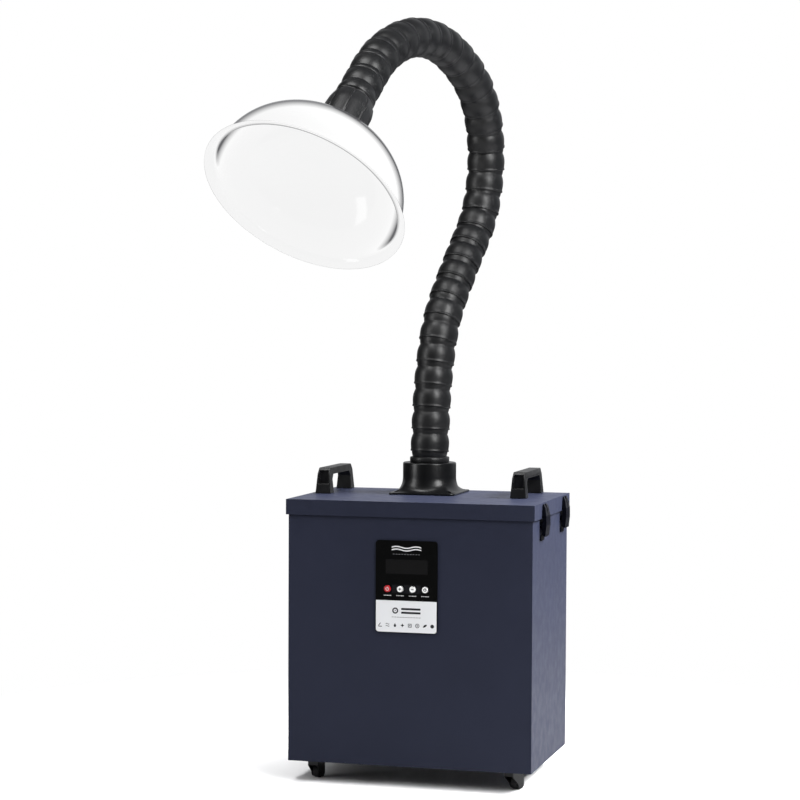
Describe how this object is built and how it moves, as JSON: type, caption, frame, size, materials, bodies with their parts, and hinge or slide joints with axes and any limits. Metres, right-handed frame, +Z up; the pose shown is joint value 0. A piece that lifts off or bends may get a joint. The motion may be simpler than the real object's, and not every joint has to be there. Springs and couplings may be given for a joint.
{
  "type": "solder fume extractor",
  "caption": "Portable fume extractor: a steel cabinet on swivel casters with a latched lift-off lid, a self-supporting arm of ball links and a clear dome hood.",
  "frame": {"origin": "middle of the cabinet's flat underside; the casters reach 33 mm below it", "axes": "+Z up, -Y towards the front with the control panel, +X to the right as seen from the front"},
  "size_m": [0.4618, 0.7056, 1.1996],
  "materials": {
    "powder_coat": "satin",
    "satin_black": "satin",
    "arm_black": "satin",
    "gloss_black": "gloss",
    "clear_hood": "gloss",
    "panel": "gloss",
    "red_button": "satin",
    "white_button": "satin",
    "latch_black": "satin",
    "caster_black": "gloss",
    "tread": "matte",
    "galvanised": "satin",
    "fan_plastic": "satin",
    "filter_frame": "matte",
    "filter_pad": "matte"
  },
  "bodies": {
    "cabinet": {"cabinet_shell": "powder_coat", "power_inlet": "satin_black", "control_panel": "panel", "fan_deck": "galvanised", "main_filter": "filter_frame", "prefilter_pad": "filter_pad"},
    "lid": {"lid": "powder_coat", "arm_flange": "gloss_black", "handle_left": "satin_black", "handle_right": "satin_black"},
    "arm_base": {"swivel_collar": "satin_black"},
    "latch_front_right": {"latch_front_right": "latch_black"},
    "latch_rear_right": {"latch_rear_right": "latch_black"},
    "latch_front_left": {"latch_front_left": "latch_black"},
    "latch_rear_left": {"latch_rear_left": "latch_black"},
    "power_button": {"power_button": "red_button"},
    "speed_up_button": {"speed_up_button": "white_button"},
    "speed_down_button": {"speed_down_button": "white_button"},
    "timer_button": {"timer_button": "white_button"},
    "caster_front_left": {"caster_fork_front_left": "caster_black"},
    "wheel_front_left": {"caster_wheel_front_left": "tread"},
    "caster_front_right": {"caster_fork_front_right": "caster_black"},
    "wheel_front_right": {"caster_wheel_front_right": "tread"},
    "caster_rear_left": {"caster_fork_rear_left": "caster_black"},
    "wheel_rear_left": {"caster_wheel_rear_left": "tread"},
    "caster_rear_right": {"caster_fork_rear_right": "caster_black"},
    "wheel_rear_right": {"caster_wheel_rear_right": "tread"},
    "fan_rotor": {"impeller": "fan_plastic"},
    "link_01": {"arm_link_01": "arm_black"},
    "link_02": {"arm_link_02": "arm_black"},
    "link_03": {"arm_link_03": "arm_black"},
    "link_04": {"arm_link_04": "arm_black"},
    "link_05": {"arm_link_05": "arm_black"},
    "link_06": {"arm_link_06": "arm_black"},
    "link_07": {"arm_link_07": "arm_black"},
    "link_08": {"arm_link_08": "arm_black"},
    "link_09": {"arm_link_09": "arm_black"},
    "link_10": {"arm_link_10": "arm_black"},
    "link_11": {"arm_link_11": "arm_black"},
    "link_12": {"arm_link_12": "arm_black"},
    "link_13": {"arm_link_13": "arm_black"},
    "link_14": {"arm_link_14": "arm_black"},
    "link_15": {"arm_link_15": "arm_black"},
    "link_16": {"arm_link_16": "arm_black"},
    "link_17": {"arm_link_17": "arm_black"},
    "link_18": {"arm_link_18": "arm_black"},
    "link_19": {"arm_link_19": "arm_black"},
    "link_20": {"arm_link_20": "arm_black"},
    "link_21": {"arm_link_21": "arm_black"},
    "link_22": {"arm_link_22": "arm_black"},
    "link_23": {"arm_link_23": "arm_black"},
    "link_24": {"arm_link_24": "arm_black"},
    "link_25": {"arm_link_25": "arm_black"},
    "link_26": {"arm_link_26": "arm_black"},
    "link_27": {"arm_link_27": "arm_black"},
    "link_28": {"arm_link_28": "arm_black"},
    "link_29": {"arm_link_29": "arm_black"},
    "link_30": {"arm_link_30": "arm_black"},
    "hood": {"hood_collar": "satin_black", "hood_dome": "clear_hood"}
  },
  "joints": [
    {"name": "lid_lift", "type": "slide", "parent": "cabinet", "child": "lid", "axis": [0, 0, 1], "range_m": [0, 0.12]},
    {"name": "arm_swivel", "type": "hinge", "parent": "lid", "child": "arm_base", "pos_m": [-0.017, 0.057, 0.455], "axis": [0, 0, 1], "continuous": true},
    {"name": "latch_front_right_swing", "type": "hinge", "parent": "cabinet", "child": "latch_front_right", "pos_m": [0.2026, -0.066, 0.366], "axis": [0, 1, 0], "range_deg": [0, 100]},
    {"name": "latch_rear_right_swing", "type": "hinge", "parent": "cabinet", "child": "latch_rear_right", "pos_m": [0.2026, 0.087, 0.366], "axis": [0, 1, 0], "range_deg": [0, 100]},
    {"name": "latch_front_left_swing", "type": "hinge", "parent": "cabinet", "child": "latch_front_left", "pos_m": [-0.2026, -0.066, 0.366], "axis": [0, -1, 0], "range_deg": [0, 100]},
    {"name": "latch_rear_left_swing", "type": "hinge", "parent": "cabinet", "child": "latch_rear_left", "pos_m": [-0.2026, 0.087, 0.366], "axis": [0, -1, 0], "range_deg": [0, 100]},
    {"name": "power_button_press", "type": "slide", "parent": "cabinet", "child": "power_button", "axis": [0, 1, 0], "range_m": [0, 0.001], "stiffness_N_per_m": 1500},
    {"name": "speed_up_button_press", "type": "slide", "parent": "cabinet", "child": "speed_up_button", "axis": [0, 1, 0], "range_m": [0, 0.001], "stiffness_N_per_m": 1500},
    {"name": "speed_down_button_press", "type": "slide", "parent": "cabinet", "child": "speed_down_button", "axis": [0, 1, 0], "range_m": [0, 0.001], "stiffness_N_per_m": 1500},
    {"name": "timer_button_press", "type": "slide", "parent": "cabinet", "child": "timer_button", "axis": [0, 1, 0], "range_m": [0, 0.001], "stiffness_N_per_m": 1500},
    {"name": "caster_front_left_swivel", "type": "hinge", "parent": "cabinet", "child": "caster_front_left", "pos_m": [-0.16, -0.092, 0], "axis": [0, 0, 1], "continuous": true},
    {"name": "wheel_front_left_roll", "type": "hinge", "parent": "caster_front_left", "child": "wheel_front_left", "pos_m": [-0.15939, -0.08503, -0.0225], "axis": [-0.9962, 0.0872, 0], "continuous": true},
    {"name": "caster_front_right_swivel", "type": "hinge", "parent": "cabinet", "child": "caster_front_right", "pos_m": [0.16, -0.092, 0], "axis": [0, 0, 1], "continuous": true},
    {"name": "wheel_front_right_roll", "type": "hinge", "parent": "caster_front_right", "child": "wheel_front_right", "pos_m": [0.16262, -0.08551, -0.0225], "axis": [-0.9272, 0.3746, 0], "continuous": true},
    {"name": "caster_rear_left_swivel", "type": "hinge", "parent": "cabinet", "child": "caster_rear_left", "pos_m": [-0.146, 0.092, 0], "axis": [0, 0, 1], "continuous": true},
    {"name": "wheel_rear_left_roll", "type": "hinge", "parent": "caster_rear_left", "child": "wheel_rear_left", "pos_m": [-0.14722, 0.09889, -0.0225], "axis": [-0.9848, -0.1736, 0], "continuous": true},
    {"name": "caster_rear_right_swivel", "type": "hinge", "parent": "cabinet", "child": "caster_rear_right", "pos_m": [0.146, 0.092, 0], "axis": [0, 0, 1], "continuous": true},
    {"name": "wheel_rear_right_roll", "type": "hinge", "parent": "caster_rear_right", "child": "wheel_rear_right", "pos_m": [0.13924, 0.09381, -0.0225], "axis": [-0.2588, -0.9659, 0], "continuous": true},
    {"name": "fan_spin", "type": "hinge", "parent": "cabinet", "child": "fan_rotor", "pos_m": [0, -0.022, 0.1], "axis": [0, 0, 1], "continuous": true},
    {"name": "hood_tilt", "type": "hinge", "parent": "link_30", "child": "hood", "pos_m": [-0.06033, -0.2208, 1.02749], "axis": [-0.9007, -0.1906, 0.3903], "range_deg": [-5.2, 24.8]},
    {"name": "arm_joint_01", "type": "hinge", "parent": "arm_base", "child": "link_01", "pos_m": [-0.017, 0.057, 0.48], "axis": [-0.922, 0.3873, 0], "range_deg": [-11, 11]},
    {"name": "arm_joint_02", "type": "hinge", "parent": "link_01", "child": "link_02", "pos_m": [-0.01622, 0.05887, 0.51564], "axis": [-0.3866, -0.9205, 0.0571], "range_deg": [-15, 15]},
    {"name": "arm_joint_03", "type": "hinge", "parent": "link_02", "child": "link_03", "pos_m": [-0.01543, 0.06075, 0.55128], "axis": [0.908, -0.419, 0.002], "range_deg": [-12.38, 17.62]},
    {"name": "arm_joint_04", "type": "hinge", "parent": "link_03", "child": "link_04", "pos_m": [-0.01395, 0.0641, 0.5868], "axis": [0.557, 0.819, -0.1378], "range_deg": [-14.85, 14.85]},
    {"name": "arm_joint_05", "type": "hinge", "parent": "link_04", "child": "link_05", "pos_m": [-0.01174, 0.06855, 0.62215], "axis": [-0.91, 0.4145, 0.0048], "range_deg": [-17.57, 12.43]},
    {"name": "arm_joint_06", "type": "hinge", "parent": "link_05", "child": "link_06", "pos_m": [-0.00888, 0.07443, 0.65724], "axis": [-0.2542, -0.9222, 0.2916], "range_deg": [-13.49, 13.49]},
    {"name": "arm_joint_07", "type": "hinge", "parent": "link_06", "child": "link_07", "pos_m": [-0.00495, 0.08414, 0.69137], "axis": [0.9646, -0.261, -0.0368], "range_deg": [-4.8, 25.2]},
    {"name": "arm_joint_08", "type": "hinge", "parent": "link_07", "child": "link_08", "pos_m": [0.00043, 0.09955, 0.72312], "axis": [0.2134, 0.8053, -0.5532], "range_deg": [-13.55, 13.55]},
    {"name": "arm_joint_09", "type": "hinge", "parent": "link_08", "child": "link_09", "pos_m": [0.00671, 0.11831, 0.75284], "axis": [-0.9608, 0.2756, 0.0307], "range_deg": [-15, 15]},
    {"name": "arm_joint_10", "type": "hinge", "parent": "link_09", "child": "link_10", "pos_m": [0.01309, 0.13725, 0.78242], "axis": [-0.2062, -0.784, 0.5854], "range_deg": [-14.89, 14.89]},
    {"name": "arm_joint_11", "type": "hinge", "parent": "link_10", "child": "link_11", "pos_m": [0.0197, 0.15711, 0.81134], "axis": [0.9605, -0.2764, -0.0317], "range_deg": [-15, 15]},
    {"name": "arm_joint_12", "type": "hinge", "parent": "link_11", "child": "link_12", "pos_m": [0.02642, 0.17717, 0.8401], "axis": [-0.1862, -0.8742, 0.4484], "range_deg": [-11.6, 11.6]},
    {"name": "arm_joint_13", "type": "hinge", "parent": "link_12", "child": "link_13", "pos_m": [0.03213, 0.19228, 0.87193], "axis": [0.9668, -0.2494, -0.0548], "range_deg": [-28.08, 1.92]},
    {"name": "arm_joint_14", "type": "hinge", "parent": "link_13", "child": "link_14", "pos_m": [0.03607, 0.19997, 0.90657], "axis": [0.2309, 0.9699, -0.077], "range_deg": [-11.86, 11.86]},
    {"name": "arm_joint_15", "type": "hinge", "parent": "link_14", "child": "link_15", "pos_m": [0.03874, 0.20216, 0.94211], "axis": [-0.9779, 0.1997, 0.061], "range_deg": [-3.97, 26.03]},
    {"name": "arm_joint_16", "type": "hinge", "parent": "link_15", "child": "link_16", "pos_m": [0.04002, 0.19763, 0.97749], "axis": [-0.1383, -0.9234, -0.358], "range_deg": [-5.28, 5.28]},
    {"name": "arm_joint_17", "type": "hinge", "parent": "link_16", "child": "link_17", "pos_m": [0.04011, 0.18471, 1.01078], "axis": [0.9745, -0.2083, -0.0834], "range_deg": [-25.72, 4.28]},
    {"name": "arm_joint_18", "type": "hinge", "parent": "link_17", "child": "link_18", "pos_m": [0.03871, 0.16599, 1.04114], "axis": [0.4832, 0.6412, 0.5962], "range_deg": [-12.2, 12.2]},
    {"name": "arm_joint_19", "type": "hinge", "parent": "link_18", "child": "link_19", "pos_m": [0.03464, 0.14353, 1.06859], "axis": [-0.7495, 0.5625, 0.349], "range_deg": [-5.32, 24.68]},
    {"name": "arm_joint_20", "type": "hinge", "parent": "link_19", "child": "link_20", "pos_m": [0.02671, 0.11818, 1.09244], "axis": [-0.3788, -0.4368, -0.8159], "range_deg": [-12.24, 12.24]},
    {"name": "arm_joint_21", "type": "hinge", "parent": "link_20", "child": "link_21", "pos_m": [0.01664, 0.09015, 1.11212], "axis": [0.9585, -0.2549, 0.1277], "range_deg": [-24.56, 5.44]},
    {"name": "arm_joint_22", "type": "hinge", "parent": "link_21", "child": "link_22", "pos_m": [0.00646, 0.05916, 1.12664], "axis": [-0.15, 0.2631, 0.953], "range_deg": [-9.43, 9.43]},
    {"name": "arm_joint_23", "type": "hinge", "parent": "link_22", "child": "link_23", "pos_m": [-0.00282, 0.02559, 1.13445], "axis": [-0.9647, 0.2436, -0.0998], "range_deg": [-5.62, 24.38]},
    {"name": "arm_joint_24", "type": "hinge", "parent": "link_23", "child": "link_24", "pos_m": [-0.01175, -0.00892, 1.1365], "axis": [0.0278, 0.0757, -0.9967], "range_deg": [-12.75, 12.75]},
    {"name": "arm_joint_25", "type": "hinge", "parent": "link_24", "child": "link_25", "pos_m": [-0.02062, -0.04338, 1.13364], "axis": [0.9682, -0.245, -0.0515], "range_deg": [-23.89, 6.11]},
    {"name": "arm_joint_26", "type": "hinge", "parent": "link_25", "child": "link_26", "pos_m": [-0.02956, -0.07693, 1.12531], "axis": [-0.1149, -0.3453, 0.9315], "range_deg": [-12.8, 12.8]},
    {"name": "arm_joint_27", "type": "hinge", "parent": "link_26", "child": "link_27", "pos_m": [-0.03801, -0.1091, 1.11235], "axis": [-0.938, 0.3095, -0.1564], "range_deg": [-8.72, 21.28]},
    {"name": "arm_joint_28", "type": "hinge", "parent": "link_27", "child": "link_28", "pos_m": [-0.04542, -0.13989, 1.09587], "axis": [0.3316, 0.5171, -0.7891], "range_deg": [-12.25, 12.25]},
    {"name": "arm_joint_29", "type": "hinge", "parent": "link_28", "child": "link_29", "pos_m": [-0.05112, -0.16822, 1.07491], "axis": [0.9423, -0.2998, 0.1493], "range_deg": [-20.99, 9.01]},
    {"name": "arm_joint_30", "type": "hinge", "parent": "link_29", "child": "link_30", "pos_m": [-0.05568, -0.19443, 1.0511], "axis": [-0.3085, -0.6037, 0.7351], "range_deg": [-14.99, 14.99]}
  ]
}
